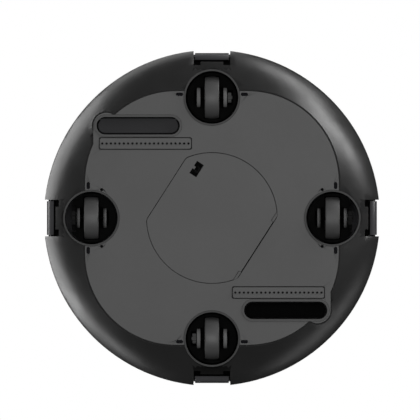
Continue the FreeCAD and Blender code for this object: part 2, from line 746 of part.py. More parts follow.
def cover_latch():
    """A sliding plate above the cover, with a thumb block in the cover's hole that clears the hole's tab."""
    bottom = f"{PLATE_TOP} + 0.2"
    top = f"{bottom} + latch_plate_thickness"
    plate = box(
        ("latch_across - 5", "latch_along - latch_plate_half", bottom),
        ("latch_across + 5", "latch_along + latch_plate_half", top),
    )
    tongue = box(
        ("latch_across + 4", "latch_along - 4", bottom),
        ("cover_chord - 0.8", "latch_along + 4", top),
    )
    block = box(
        ("latch_across - latch_block_back", "latch_along - latch_block_half", "plate_height + 0.8"),
        ("latch_across + latch_block_front", "latch_along + latch_block_half", f"{PLATE_TOP} + 0.5"),
    )
    tab_room = box(
        ("latch_across + latch_block_front - 2.2", "latch_along - latch_tab_width / 2 - 0.4", "0"),
        ("latch_across + latch_block_front + 1", "latch_along + latch_tab_width / 2 + 0.4", PLATE_TOP),
    )
    return place(fuse(plate, tongue, cut(block, tab_room)), turn=COVER_TURN)


def duct():
    """A throat standing over the intake, with a square passage from its top to the bin's wall."""
    outer = "intake_half_length + duct_wall", "intake_half_width + duct_wall"
    throat = padded(stadium(*outer), "duct_mouth_height", "duct_top_height")
    hollow = padded(stadium("intake_half_length", "intake_half_width"), "0", "duct_top_height - duct_wall")
    length = "sqrt(intake_across^2 + intake_along^2)"
    turn = INTAKE_TURN + 180
    passage = place(group([box(
        ("0", "-passage_width / 2", "duct_top_height - passage_height"),
        (length, "passage_width / 2", "duct_top_height"),
    )]), turn=turn)
    bore = place(group([box(
        ("0", "-passage_width / 2 + duct_wall", "duct_top_height - passage_height + duct_wall"),
        (length, "passage_width / 2 - duct_wall", "duct_top_height - duct_wall"),
    )]), turn=turn)
    well = cylinder("bin_radius + bin_gap + wall + 0.05", "0", "100", "-intake_across", "-intake_along")
    pins = [
        bar("flap_pin_radius + running_gap", "-flap_pin_reach - 0.8", "flap_pin_reach + 0.8",
            "flap_pin_offset", level)
        for level in ("flap_low_height", "flap_high_height")
    ]
    return cut(fuse(throat, passage), hollow, bore, well, group(pins))


def intake_flap(level):
    """A flat flap across the throat, with round ends, on a pin near its outer edge."""
    bottom = f"{level} - flap_thickness / 2"
    top = f"{level} + flap_thickness / 2"
    plate = common(
        padded(stadium("flap_half_length", "flap_half_width"), bottom, top),
        box(("-flap_half_length", "-flap_half_width", bottom), ("flap_half_length", "flap_pin_offset", top)),
    )
    straight = "(flap_half_length - flap_half_width)"
    barrel = bar("flap_pin_radius + 0.2", f"-{straight}", straight, "flap_pin_offset", level)
    pin = bar("flap_pin_radius", "-flap_pin_reach", "flap_pin_reach", "flap_pin_offset", level)
    return fuse(plate, barrel, pin)


# ---------------------------------------------------------------- wheels

def wheel_tyre():
    """A smooth tyre about X, with rounded shoulders and a slightly crowned tread."""
    half = "tyre_width / 2"
    edge = f"({half} - tyre_shoulder)"
    crown = f"(({edge}^2 + tyre_crown^2) / (2 * tyre_crown))"
    side = "wheel_radius - tyre_crown - tyre_shoulder"
    return turned([
        (half, "tyre_bore"),
        (half, side),
        (edge, "wheel_radius - tyre_crown", edge, side, 1),
        (f"-{edge}", "wheel_radius - tyre_crown", "0", f"wheel_radius - {crown}", 1),
        (f"-{half}", side, f"-{edge}", side, 1),
        (f"-{half}", "tyre_bore"),
    ], about="H_Axis")


def wheel_hub():
    """A hub with a rim, a thinner web and a boss on the axle."""
    half = "hub_width / 2"
    web = "1.5"
    return turned([
        (half, "axle_radius"),
        (half, "axle_radius + 3"),
        (web, "axle_radius + 4"),
        (web, "tyre_bore - 3"),
        (half, "tyre_bore - 2"),
        (half, "tyre_bore"),
        (f"-{half}", "tyre_bore"),
        (f"-{half}", "tyre_bore - 2"),
        (f"-{web}", "tyre_bore - 3"),
        (f"-{web}", "axle_radius + 4"),
        (f"-{half}", "axle_radius + 3"),
        (f"-{half}", "axle_radius"),
    ], about="H_Axis")


def gear_outline(teeth, phase):
    """Straight-sided teeth about the origin; phase turns them by a part of one pitch."""
    pitch = f"({teeth} / 2)"
    points = []
    for tooth in range(int(size(teeth))):
        for share, radius in ((-0.29, "root"), (-0.13, "tip"), (0.13, "tip"), (0.29, "root")):
            step = "+ 0.85 * tooth_height" if radius == "tip" else "- 1.1 * tooth_height"
            reach = f"({pitch} {step})"
            angle = f"(360 * ({tooth} + {share} + {phase}) / {teeth})"
            points.append((f"{reach} * cos({angle})", f"{reach} * sin({angle})"))
    return points


def gear(teeth, phase, bore):
    """A spur gear about X, as wide as the collar."""
    body = padded(gear_outline(teeth, phase), "0", "collar_width")
    blank = cut(body, cylinder(bore, "-1", "collar_width + 1"))
    return place(group([place(blank, turn=90, axis=(0, 1, 0))]), "-collar_start - collar_width")


def wheel_axle(collared):
    """The live axle; a caster's has a ribbed collar outside one cheek."""
    rod = bar("axle_radius", "-collar_start - collar_width - 0.5", "cheek_inner + cheek_thickness + 1.2")
    if not collared:
        return rod
    ribs = [bar("collar_radius", "-collar_start - collar_width + 0.4", "-collar_start")]
    for index in range(10):
        rib = bar("0.9", "-collar_start - collar_width + 0.4", "-collar_start", "collar_radius", "0")
        ribs.append(place(group([rib]), turn=36 * index, axis=(1, 0, 0)))
    return fuse(rod, *ribs)


def cheek_lens(middle):
    """The rounded end of a cheek, a disc about the axle that thins towards its rim."""
    half = "(cheek_thickness / 2 + cheek_swell)"
    edge = f"({half} - cheek_face_radius + sqrt(cheek_face_radius^2 - cheek_radius^2))"
    lens = turned([
        (half, "0"),
        (edge, "cheek_radius", f"{half} - cheek_face_radius", "0", 1),
        (f"-{edge}", "cheek_radius"),
        (f"-{half}", "0", f"cheek_face_radius - {half}", "0", 1),
    ], about="H_Axis")
    return place(group([lens]), middle, "0", "wheel_radius")


def wheel_frame():
    """What both wheel carriers share: turntable disc, top disc, two rounded cheeks and their openings."""
    turntable = cylinder("turntable_radius", "turntable_height", "turntable_height + turntable_thickness")
    top = cylinder("turntable_radius", "fork_top_height - fork_top_thickness", "fork_top_height")
    slot = box(
        ("-wheel_slot_half_width", "-wheel_slot_half_length", "0"),
        ("wheel_slot_half_width", "wheel_slot_half_length", "fork_top_height - fork_top_thickness"),
    )
    cheek_room = box(
        ("-cheek_inner - 1", "-cheek_radius - 0.6", "0"),
        ("cheek_inner + 1", "cheek_radius + 0.6", "fork_top_height - fork_top_thickness"),
    )
    end_room = box(
        ("-collar_start - collar_width - 1.2", "-collar_room", "0"),
        ("cheek_inner + cheek_thickness + 2.2", "collar_room", "fork_top_height - fork_top_thickness"),
    )
    disc = cut(turntable, slot, cheek_room, end_room)
    walls = []
    for start in ("-cheek_inner - cheek_thickness", "cheek_inner"):
        slab = box(
            (start, "-cheek_radius", "wheel_radius"),
            (f"{start} + cheek_thickness", "cheek_radius", "fork_top_height - 1"),
        )
        walls += [slab, cheek_lens(f"({start} + cheek_thickness / 2)")]
    ribs = []
    for side in ("cheek_radius - 1.5", "-cheek_radius - 1.2"):
        ribs.append(box(
            ("-turntable_radius + 4.5", side, "turntable_height"),
            ("-cheek_inner - 1", f"{side} + 2.7", "fork_top_height - 1"),
        ))
        ribs.append(box(
            ("cheek_inner + 1", side, "turntable_height"),
            ("turntable_radius - 4.5", f"{side} + 2.7", "fork_top_height - 1"),
        ))
    bore = bar("axle_radius + running_gap", "-30", "30", "0", "wheel_radius")
    return fuse(disc, top, *walls, *ribs), bore


def caster_fork():
    """The swivelling fork, held up by a stem that snaps through the cup's bearing plate."""
    frame, bore = wheel_frame()
    stem = cylinder("stem_radius", "fork_top_height - 1", "cup_top_height + 1.5")
    head = cylinder("stem_head_radius", "cup_top_height + 0.3", "cup_top_height + 1.5")
    return cut(fuse(frame, stem, head), bore)


IDLER_HEIGHT = "wheel_radius + (wheel_gear_teeth + idler_teeth) / 2"
MOTOR_HEIGHT = "wheel_radius + (wheel_gear_teeth + 2 * idler_teeth + pinion_teeth) / 2"


def drive_carriage():
    """The sprung carriage: the shared frame with a motor cradle, a gear window and the idler's stub pin."""
    frame, bore = wheel_frame()
    cradle = box(
        ("-motor_length / 2", "-motor_radius + 1", "fork_top_height - 1"),
        ("motor_length / 2", "motor_radius - 1", MOTOR_HEIGHT),
    )
    saddle = bar("motor_radius", "-40", "40", "0", MOTOR_HEIGHT)
    window = box(
        ("-turntable_radius - 1", "-idler_teeth / 2 - 2", "turntable_height - 1"),
        ("-cheek_inner - cheek_thickness", "idler_teeth / 2 + 2", "70"),
    )
    stub = bar("axle_radius", "-collar_start - collar_width - 0.3", "-cheek_inner - 1", "0", IDLER_HEIGHT)
    return fuse(cut(fuse(frame, cut(cradle, saddle)), bore, window), stub)


def drive_motor():
    """A geared motor lying along X over its carriage."""
    can = bar("motor_radius", "-motor_length / 2 + 1.5", "motor_length / 2", "0", MOTOR_HEIGHT)
    nose = bar("3.5", "-motor_length / 2", "0", "0", MOTOR_HEIGHT)
    cap = bar("4", "motor_length / 2 - 1", "motor_length / 2 + 2", "0", MOTOR_HEIGHT)
    shaft = bar("shaft_radius", "-collar_start - collar_width", "0", "0", MOTOR_HEIGHT)
    return fuse(can, nose, cap, shaft)


def suspension_springs():
    """Two coil springs between the carriage and its cup's brackets, as closed rings joined by a helix."""
    coils = []
    for side in ("spring_offset", "-spring_offset"):
        helix = doc.addObject("Part::Helix", "Helix")
        height = "(spring_stop_height - spring_seat_height - 2 * spring_wire)"
        bind(helix, Radius="spring_radius", Pitch=f"{height} / 5", Height=height)
        wire = doc.addObject("Part::Circle", "Wire")
        bind(wire, Radius="spring_wire")
        place(wire, "spring_radius", "0", "0", 90, (1, 0, 0))
        coil = doc.addObject("Part::Sweep", "Coil")
        coil.Sections = [wire]
        coil.Spine = (helix, ["Edge1"])
        coil.Solid = True
        coil.Frenet = True
        coils.append(place(group([coil]), "0", side, "spring_seat_height + spring_wire"))
    return group(coils)


# ---------------------------------------------------------------- inside

def battery_pack():
    return solid_outline(
        rectangle("battery_width / 2", "battery_length / 2"),
        "battery_bottom", "battery_top", turn=COVER_TURN)


def at_blower(item):
    return place(group([item]), turn=BLOWER_TURN)


def blower_housing():
    """A drum round the impeller, an intake chamber to the bin and a chimney up to the grille."""
    inner_radius = "blower_radius - blower_wall"
    drum = cylinder("blower_radius", "blower_bottom", "blower_top", "blower_offset")
    room = cylinder(inner_radius, "blower_bottom + blower_wall", "blower_top - blower_wall", "blower_offset")
    chamber = box(
        ("bin_radius - 2", "-chamber_width / 2", "blower_top - 1"),
        ("blower_offset + eye_radius + 3", "chamber_width / 2", "chamber_top"),
    )
    chamber_room = box(
        ("bin_radius - 3", "-chamber_width / 2 + blower_wall", "blower_top"),
        ("blower_offset + eye_radius + 1", "chamber_width / 2 - blower_wall", "chamber_top - blower_wall"),
    )
    eye = cylinder("eye_radius - 2", "blower_top - blower_wall - 1", "blower_top + 1", "blower_offset")
    start = "chimney_offset - chimney_depth / 2"
    chimney = box(
        (start, "-chimney_width / 2", "blower_bottom + 16"),
        ("chimney_offset + chimney_depth / 2", "chimney_width / 2", "deck_height - wall"),
    )
    flue = box(
        (f"{start} + blower_wall", "-chimney_width / 2 + blower_wall", "blower_bottom + 18"),
        ("chimney_offset + chimney_depth / 2 - blower_wall", "chimney_width / 2 - blower_wall",
         "deck_height"),
    )
    well = cylinder("bin_radius + bin_gap + wall + 0.05", "0", "100")
    return at_blower(cut(fuse(drum, chamber, chimney), room, chamber_room, eye, flue, well))


def blower_motor():
    """A flat motor on the drum's floor, with its shaft up through the impeller."""
    floor = "blower_bottom + blower_wall"
    can = cylinder("blower_can_radius", floor, f"{floor} + blower_can_height", "blower_offset")
    boss = cylinder("5", floor, f"{floor} + blower_can_height + 2", "blower_offset")
    shaft = cylinder("shaft_radius", floor, f"{floor} + blower_shaft_height", "blower_offset")
    return at_blower(fuse(can, boss, shaft))


def impeller():
    """A disc with swept blades about a hub."""
    base = "blower_bottom + blower_wall + impeller_lift"
    top = f"{base} + impeller_height"
    count = int(size("blade_count"))
    disc = cylinder("impeller_radius", base, f"{base} + 1.5")
    hub = cylinder("6", base, top)
    blades = []
    for index in range(count):
        blade = box(
            ("4", "-blade_half_thickness", base),
            ("impeller_radius - 3", "blade_half_thickness", top),
        )
        swept = place(group([blade]), turn=-size("blade_sweep"))
        blades.append(place(group([place(group([swept]), "3.5")]), turn=360 / count * index))
    wheel = common(fuse(disc, hub, *blades), cylinder("impeller_radius", "0", "deck_height"))
    wheel = cut(wheel, cylinder("shaft_radius + running_gap", "0", "deck_height"))
    return at_blower(place(group([wheel]), "blower_offset"))


def main_board():
    """The control board with its main chips and sockets."""
    board = box(
        ("board_offset - board_width / 2", "-board_length / 2", "board_height"),
        ("board_offset + board_width / 2", "board_length / 2", "board_height + board_thickness"),
    )
    top = "board_height + board_thickness - 0.1"
    chips = []
    for out, side, half, rise in (("-8", "0", "8", "2"), ("12", "-18", "5", "1.6"), ("8", "20", "6", "1.6"),
                                  ("-18", "-30", "5", "7"), ("-18", "28", "5", "7")):
        chips.append(box(
            (f"board_offset + {out} - {half}", f"{side} - {half}", top),
            (f"board_offset + {out} + {half}", f"{side} + {half}", f"{top} + {rise}"),
        ))
    return place(group([fuse(board, *chips)]), turn=BOARD_TURN)


def exhaust_grille():
    """A slotted insert in the deck over the blower's chimney."""
    plate = box(
        ("chimney_offset - chimney_depth / 2", "-chimney_width / 2", "deck_height - wall"),
        ("chimney_offset + chimney_depth / 2", "chimney_width / 2", "deck_height - 0.3"),
    )
    slots = []
    for index in range(-4, 5):
        middle = f"{index} * grille_pitch"
        slots.append(box(
            ("chimney_offset - chimney_depth / 2 + grille_border", f"{middle} - grille_slot / 2",
             "deck_height - wall - 1"),
            ("chimney_offset + chimney_depth / 2 - grille_border", f"{middle} + grille_slot / 2",
             "deck_height + 1"),
        ))
    return at_blower(cut(plate, group(slots)))


# ---------------------------------------------------------------- bin and top

LID_CHORD = "lid_hinge_offset + 2"


def lug_boxes(spread, low, high, near, far):
    """Two boxes about the lid's hinge line."""
    boxes = []
    for side in ("-lid_lug_offset", "lid_lug_offset"):
        boxes.append(box(
            (f"{side} - lid_lug_width / 2 - {spread}", far, low),
            (f"{side} + lid_lug_width / 2 + {spread}", near, high),
        ))
    return boxes


def dust_bin():
    """The bin's tub, with a bridge at the rear that carries the lid's hinge lugs."""
    tub = cut(
        cylinder("bin_radius", "bin_floor_height + 0.3", "bin_rim_height"),
        cylinder("bin_radius - bin_wall", "bin_floor_height + 0.3 + bin_wall", "bin_rim_height + 1"),
    )
    segment = common(
        cylinder("bin_radius", "bin_rim_height - 6", "lid_top_height"),
        box(("-80", "-80", "0"), ("80", "-lid_hinge_offset - 4.5", "100")),
    )
    shoulders = [common(
        cylinder("bin_radius", "bin_rim_height - 6", "lid_top_height"),
        box((start, "-80", "0"), (f"{start} + 60", "-lid_hinge_offset + 4", "100")),
    ) for start in ("lid_corner + 0.5", "-lid_corner - 60.5")]
    lugs = lug_boxes("0", "bin_rim_height - 4", "lid_top_height - 0.6",
                     "-lid_hinge_offset + 2.4", "-lid_hinge_offset - 6")
    bore = bar("lid_pin_radius + running_gap", "-30", "30", "-lid_hinge_offset", "lid_hinge_height")
    windows = group(bin_windows("bin_radius - 5", "bin_radius + 5"))
    return cut(fuse(tub, segment, *shoulders, *lugs), bore, windows)


def handle_outline(inner, outer):
    """Half a ring on the +Y side of the hinge line."""
    return [
        (outer, "0"),
        (f"-({outer})", "0", "0", "0", 1),
        (f"-({inner})", "0"),
        (inner, "0", "0", "0", -1),
    ]


def bin_lid():
    """A round lid cut straight at its hinge, with a groove for the handle and a finger scoop."""
    disc = cut(
        cylinder("lid_radius", "lid_bottom_height", "lid_top_height"),
        box(("-80", "-80", "0"), ("80", f"-({LID_CHORD})", "100")),
        *lug_boxes("0.4", "0", "100", "-lid_hinge_offset + 3.8", "-lid_hinge_offset - 6"),
    )
    corners = [
        box((start, "-80", "0"), (f"{start} + 60", "-lid_hinge_offset + 5", "100"))
        for start in ("lid_corner", "-lid_corner - 60")
    ]
    low = "handle_height - handle_half_thickness - 0.4"
    groove = padded(handle_outline("handle_inner - 0.6", "handle_outer + 0.6"), low, "100")
    ends = []
    for start in ("-handle_outer - 0.6", "handle_inner - 0.6"):
        ends.append(box((start, "-handle_half_thickness - 0.5", low), (f"{start} + 7.2", "1", "100")))
    scoop = box(("-11", "handle_outer - 1", low), ("11", "handle_outer + 9", "100"))
    bore = bar("1.05", "-handle_pin_reach - 0.3", "handle_pin_reach + 0.3", "0", "handle_height")
    pins = bar("lid_pin_radius", "-lid_lug_offset - 3", "lid_lug_offset + 3",
               "-lid_hinge_offset", "lid_hinge_height")
    return fuse(cut(disc, *corners, groove, *ends, scoop, bore), pins)


def lid_handle():
    """A flat bail that lies in the lid's groove, on two short pins."""
    low = "handle_height - handle_half_thickness"
    high = "handle_height + handle_half_thickness"
    bail = padded(handle_outline("handle_inner", "handle_outer"), low, high)
    arms = []
    for start, end in (("-handle_outer", "-handle_inner"), ("handle_inner", "handle_outer")):
        arms.append(bar("handle_half_thickness", start, end, "0", "handle_height"))
    pin = cut(
        bar("1", "-handle_pin_reach", "handle_pin_reach", "0", "handle_height"),
        box(("-handle_inner - 1", "-5", "0"), ("handle_inner + 1", "5", "100")),
    )
    return fuse(bail, *arms, pin)


def filter_cartridge():
    """A pleated cartridge under the lid, cut into shallow folds."""
    block = cylinder("filter_radius", "filter_bottom_height", "lid_bottom_height")
    folds = []
    for index in range(-7, 8):
        middle = f"{index} * fold_pitch"
        folds.append(box(
            (f"{middle} - fold_width / 2", "-filter_radius", "filter_bottom_height - 1"),
            (f"{middle} + fold_width / 2", "filter_radius", "filter_bottom_height + fold_depth"),
        ))
    return cut(block, common(group(folds), cylinder("filter_radius - 2.5", "0", "100")))


def push_button(side):
    """A round button with a flange that keeps it under the deck."""
    cap = cylinder("button_radius", "deck_height - wall - 2", "button_top", side, "button_forward")
    flange = cylinder("button_radius + 1.5", "deck_height - wall - 3", "deck_height - wall - 0.1",
                      side, "button_forward")
    return fuse(cap, flange)


# ---------------------------------------------------------------- assembly

name_part(lower_shell(), "lower_shell")
name_part(base_plate(), "base_plate")
name_part(well_cups(), "well_cups")
name_part(upper_housing(), "upper_housing")
for index, label in enumerate(("front_right", "front_left", "rear_left", "rear_right")):
    name_part(place(group([bumper()]), turn=45 + 90 * index), f"bumper_{label}")
for index, label in enumerate(("front", "left", "rear", "right")):
    name_part(place(group([latch_lever()]), turn=90 * index), f"latch_{label}")
name_part(group([lever_pin_turned(quarter) for quarter in range(4)]), "latch_pins")

name_part(brush_strips(), "brush_strips")
name_part(cliff_lenses(), "cliff_lenses")
name_part(base_screws(), "base_screws")
name_part(service_cover(), "service_cover")
name_part(cover_latch(), "cover_latch")
for label, turn, sign, level in (("front", 0, "", "flap_low_height"), ("rear", 180, "-", "flap_high_height")):
    spot = f"{sign}intake_across", f"{sign}intake_along", "0", turn
    name_part(place(duct(), *spot), f"suction_duct_{label}")
    name_part(place(group([intake_flap(level)]), *spot), f"intake_flap_{label}")

for label, sign, turn in (("front", "", 0), ("rear", "-", 180)):
    spot = "0", f"{sign}well_offset"
    name_part(place(group([caster_fork()]), *spot, "0", turn), f"caster_fork_{label}")
    for piece, build in (("axle", lambda: wheel_axle(True)), ("hub", wheel_hub), ("tyre", wheel_tyre)):
        name_part(place(group([build()]), *spot, "wheel_radius", turn), f"caster_{piece}_{label}")

for label, sign, turn in (("left", "-", 0), ("right", "", 180)):
    spot = f"{sign}well_offset", "0"
    name_part(place(group([drive_carriage()]), *spot, "0", turn), f"drive_carriage_{label}")
    name_part(place(group([drive_motor()]), *spot, "0", turn), f"drive_motor_{label}")
    name_part(place(group([suspension_springs()]), *spot, "0", turn), f"drive_springs_{label}")
    wheel = (("axle", lambda: wheel_axle(False)), ("hub", wheel_hub), ("tyre", wheel_tyre),
             ("gear", lambda: gear("wheel_gear_teeth", "0", "axle_radius")))
    for piece, build in wheel:
        name_part(place(group([build()]), *spot, "wheel_radius", turn), f"drive_{piece}_{label}")
    idler = gear("idler_teeth", "0.5", "axle_radius + running_gap")
    name_part(place(group([idler]), *spot, IDLER_HEIGHT, turn), f"drive_idler_{label}")
    pinion = gear("pinion_teeth", "0", "shaft_radius + running_gap")
    name_part(place(group([pinion]), *spot, MOTOR_HEIGHT, turn), f"drive_pinion_{label}")

name_part(battery_pack(), "battery_pack")
name_part(blower_housing(), "blower_housing")
name_part(blower_motor(), "blower_motor")
name_part(impeller(), "impeller")
name_part(main_board(), "main_board")
name_part(exhaust_grille(), "exhaust_grille")
name_part(dust_bin(), "dust_bin")
name_part(bin_lid(), "bin_lid")
name_part(lid_handle(), "lid_handle")
name_part(filter_cartridge(), "filter_cartridge")
name_part(push_button("button_offset"), "power_button")
name_part(push_button("-button_offset"), "home_button")

doc.recompute()

failed = [item.Name for item in doc.Objects if "Invalid" in item.State or "Error" in item.State]
if failed:
    raise SystemExit(f"failed objects: {failed}")
os.makedirs("parts", exist_ok=True)
for label, item in subparts.items():
    if item.Shape.isNull() or not item.Shape.isValid():
        raise SystemExit(f"{label} has no valid shape")
    item.Shape.exportStep(f"parts/{label}.step")
print(len(subparts), "sub-parts")
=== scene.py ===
"""The robot vacuum's looks: materials, rounded edges, bristles, grips and buttons, and the studio."""

import json
import math
import random

import bmesh
import bpy
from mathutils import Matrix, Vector


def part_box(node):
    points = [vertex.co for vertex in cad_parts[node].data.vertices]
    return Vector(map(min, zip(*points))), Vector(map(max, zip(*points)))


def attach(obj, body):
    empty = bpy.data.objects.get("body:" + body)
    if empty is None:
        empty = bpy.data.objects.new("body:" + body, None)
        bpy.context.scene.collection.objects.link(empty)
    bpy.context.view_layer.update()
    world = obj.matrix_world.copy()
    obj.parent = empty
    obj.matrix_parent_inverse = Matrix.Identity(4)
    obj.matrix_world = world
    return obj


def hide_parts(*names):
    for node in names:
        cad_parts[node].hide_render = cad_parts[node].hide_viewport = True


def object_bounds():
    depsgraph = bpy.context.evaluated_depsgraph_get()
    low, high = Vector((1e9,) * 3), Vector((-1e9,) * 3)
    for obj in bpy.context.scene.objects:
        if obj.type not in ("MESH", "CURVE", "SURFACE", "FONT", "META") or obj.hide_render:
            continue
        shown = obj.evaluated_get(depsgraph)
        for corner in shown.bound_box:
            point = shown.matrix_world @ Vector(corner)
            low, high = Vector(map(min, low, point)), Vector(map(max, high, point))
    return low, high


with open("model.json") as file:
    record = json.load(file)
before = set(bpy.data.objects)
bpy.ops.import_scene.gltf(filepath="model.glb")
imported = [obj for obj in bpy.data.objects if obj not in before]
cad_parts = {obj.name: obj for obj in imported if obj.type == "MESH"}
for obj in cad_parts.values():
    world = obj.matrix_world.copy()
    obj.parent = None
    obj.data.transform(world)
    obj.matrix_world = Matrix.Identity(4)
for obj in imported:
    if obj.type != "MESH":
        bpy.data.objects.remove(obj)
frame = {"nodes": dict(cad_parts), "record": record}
CAD_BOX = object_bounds()
NODES = frame["nodes"]
RECORD = frame["record"]
MM = 0.001

random.seed(7)

CASTER_ENDS = ("front", "rear")
DRIVE_SIDES = ("left", "right")
LATCHES = ("latch_front", "latch_left", "latch_rear", "latch_right")
TYRES = [f"caster_tyre_{end}" for end in CASTER_ENDS] + [f"drive_tyre_{side}" for side in DRIVE_SIDES]
CARRIERS = [f"caster_fork_{end}" for end in CASTER_ENDS] + [f"drive_carriage_{side}" for side in DRIVE_SIDES]


def node_centre(node):
    low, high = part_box(node)
    return (low + high) / 2


# ---------------------------------------------------------------- camera and stage

LOW_CORNER, HIGH_CORNER = (Vector(corner) for corner in CAD_BOX)
BODY_MIDDLE = Vector((0, 0, (LOW_CORNER.z + HIGH_CORNER.z) / 2))

SENSOR_WIDTH = 36
CAMERA_DISTANCE = 9
RIM_HEIGHT = 20 * MM
FRAME_WIDTH = 0.4242
FRAME_DROP = 8.104 * MM
FRAME_SIDE = 1.925 * MM


def add_camera():
    """Straight below the robot, looking up, with its front at the top of the frame."""
    data = bpy.data.cameras.new("camera")
    data.sensor_width = SENSOR_WIDTH
    data.lens = SENSOR_WIDTH * (CAMERA_DISTANCE + RIM_HEIGHT) / FRAME_WIDTH
    data.shift_x = -FRAME_SIDE / FRAME_WIDTH
    data.shift_y = FRAME_DROP / FRAME_WIDTH
    data.clip_start = 0.05
    data.clip_end = 20
    camera = bpy.data.objects.new("camera", data)
    camera.location = (0, 0, -CAMERA_DISTANCE)
    camera.rotation_euler = (0, math.pi, 0)
    bpy.context.scene.collection.objects.link(camera)
    bpy.context.scene.camera = camera
    bpy.context.scene.view_settings.view_transform = "Standard"


FLOOR_HALF_WIDTH = 14
FLOOR_GAP = 0.2 * MM


def add_floor():
    """A pale floor under the wheels. It is clear from underneath, so that the underside can be seen."""
    mesh = bpy.data.meshes.new("floor")
    shape = bmesh.new()
    bmesh.ops.create_grid(shape, x_segments=8, y_segments=8, size=FLOOR_HALF_WIDTH)
    shape.to_mesh(mesh)
    shape.free()
    floor = bpy.data.objects.new("floor", mesh)
    floor.location.z = LOW_CORNER.z - FLOOR_GAP
    bpy.context.scene.collection.objects.link(floor)
    material = bpy.data.materials.new("floor")
    material.use_nodes = True
    nodes, links = material.node_tree.nodes, material.node_tree.links
    nodes.clear()
    out = nodes.new("ShaderNodeOutputMaterial")
    mix = nodes.new("ShaderNodeMixShader")
    side = nodes.new("ShaderNodeNewGeometry")
    clear = nodes.new("ShaderNodeBsdfTransparent")
    pale = nodes.new("ShaderNodeBsdfPrincipled")
    pale.inputs["Base Color"].default_value = (0.8, 0.8, 0.79, 1)
    pale.inputs["Roughness"].default_value = 0.7
    links.new(side.outputs["Backfacing"], mix.inputs[0])
    links.new(pale.outputs[0], mix.inputs[1])
    links.new(clear.outputs[0], mix.inputs[2])
    links.new(mix.outputs[0], out.inputs[0])
    mesh.materials.append(material)
    floor.visible_shadow = False
    floor.visible_diffuse = False
    floor.visible_glossy = False
    floor.visible_transmission = False


ROOM_STRENGTH = 0.12
GLOSS_STRENGTH = 0.035
BACKDROP_STRENGTH = 1.0


def add_world():
    """A white backdrop whose light on the robot is weaker, and nearly black in its reflections."""
    world = bpy.data.worlds.new("studio")
    bpy.context.scene.world = world
    world.use_nodes = True
    nodes, links = world.node_tree.nodes, world.node_tree.links
    nodes.clear()
    out = nodes.new("ShaderNodeOutputWorld")
    path = nodes.new("ShaderNodeLightPath")
    shader = None
    for strength, rays in ((ROOM_STRENGTH, None), (GLOSS_STRENGTH, "Is Glossy Ray"),
                           (BACKDROP_STRENGTH, "Is Camera Ray")):
        back = nodes.new("ShaderNodeBackground")
        back.inputs["Color"].default_value = (1, 1, 1, 1)
        back.inputs["Strength"].default_value = strength
        if rays is None:
            shader = back
            continue
        mix = nodes.new("ShaderNodeMixShader")
        links.new(path.outputs[rays], mix.inputs[0])
        links.new(shader.outputs[0], mix.inputs[1])
        links.new(back.outputs[0], mix.inputs[2])
        shader = mix
    links.new(shader.outputs[0], out.inputs[0])


def add_light(name, place, aim, size, power):
    """A rectangular light, its size in metres and its power in watts."""
    data = bpy.data.lights.new(name, "AREA")
    data.shape = "RECTANGLE"
    data.size, data.size_y = size
    data.energy = power
    light = bpy.data.objects.new(name, data)
    light.location = place
    toward = Vector(aim) - Vector(place)
    light.rotation_euler = toward.to_track_quat("-Z", "Y").to_euler()
    bpy.context.scene.collection.objects.link(light)
    light.visible_camera = False
    return light


BOX_DISTANCE = 1.35
# name, angle round the robot (0 is its right), angle above the floor, size in metres, power in watts.
# The names say where each box is in the camera's view, whose left is the robot's right.
SOFT_BOXES = (
    ("left_box", 5, 22, (2.2, 1.2), 28),
    ("right_box", 145, -13, (0.9, 0.55), 14),
    ("upper_right_box", 120, 7, (0.7, 0.6), 6),
    ("low_right_box", 225, 8, (1.2, 0.6), 2.4),
    ("low_left_box", 318, 14, (1.0, 0.5), 3.8),
    ("upper_box", 75, 35, (0.9, 0.6), 2.5),
)


def add_soft_box(name, around, rise, size, power):
    """A soft box facing the robot from the given angles."""
    turn, tilt = math.radians(around), math.radians(rise)
    way = Vector((math.cos(tilt) * math.cos(turn), math.cos(tilt) * math.sin(turn), math.sin(tilt)))
    return add_light(name, BODY_MIDDLE + BOX_DISTANCE * way, BODY_MIDDLE, size, power)


def add_lights():
    """Soft boxes for the rim's highlights, an overhead light, and two lights from below."""
    for soft_box in SOFT_BOXES:
        add_soft_box(*soft_box)
    add_light("overhead", (0, 0, 2.4), (0, 0, 0), (1.2, 1.2), 60)
    fill = add_light("underside_fill", (0.1, 0.3, -4), (0, 0, 0), (1.2, 1.2), 150)
    fill.visible_glossy = False
    sheen = add_light("tyre_sheen", (0, 0, -2.5), (0, 0, 0), (1.5, 1.5), 52)
    tyres = bpy.data.collections.new("tyres")
    for node in TYRES:
        tyres.objects.link(NODES[node])
    sheen.light_linking.receiver_collection = tyres


add_camera()
add_floor()
add_world()
add_lights()


# ---------------------------------------------------------------- materials

CLOUD_SCALE = 14
RUB_SCALE = 60
COAT_ROUGHNESS = 0.25
ROUGHNESS_SPAN = 0.9, 1.12
NOISE_SPAN = 0.3, 0.7
# the bump's strength for each millimetre of grain depth, up to 1
GRAIN_STRENGTH = 10
# the Mix node's sockets when it mixes colours
MIX_FIRST, MIX_SECOND, MIX_RESULT = 6, 7, 2


def spot_noise(nodes, links, scale, detail, stretch=(1, 1, 1)):
    """Noise in the object's own space, its scale per metre."""
    coordinates = nodes.new("ShaderNodeTexCoord")
    mapping = nodes.new("ShaderNodeMapping")
    mapping.inputs["Scale"].default_value = stretch
    noise = nodes.new("ShaderNodeTexNoise")
    noise.inputs["Scale"].default_value = scale
    noise.inputs["Detail"].default_value = detail
    links.new(coordinates.outputs["Object"], mapping.inputs[0])
    links.new(mapping.outputs[0], noise.inputs["Vector"])
    return noise.outputs[0]


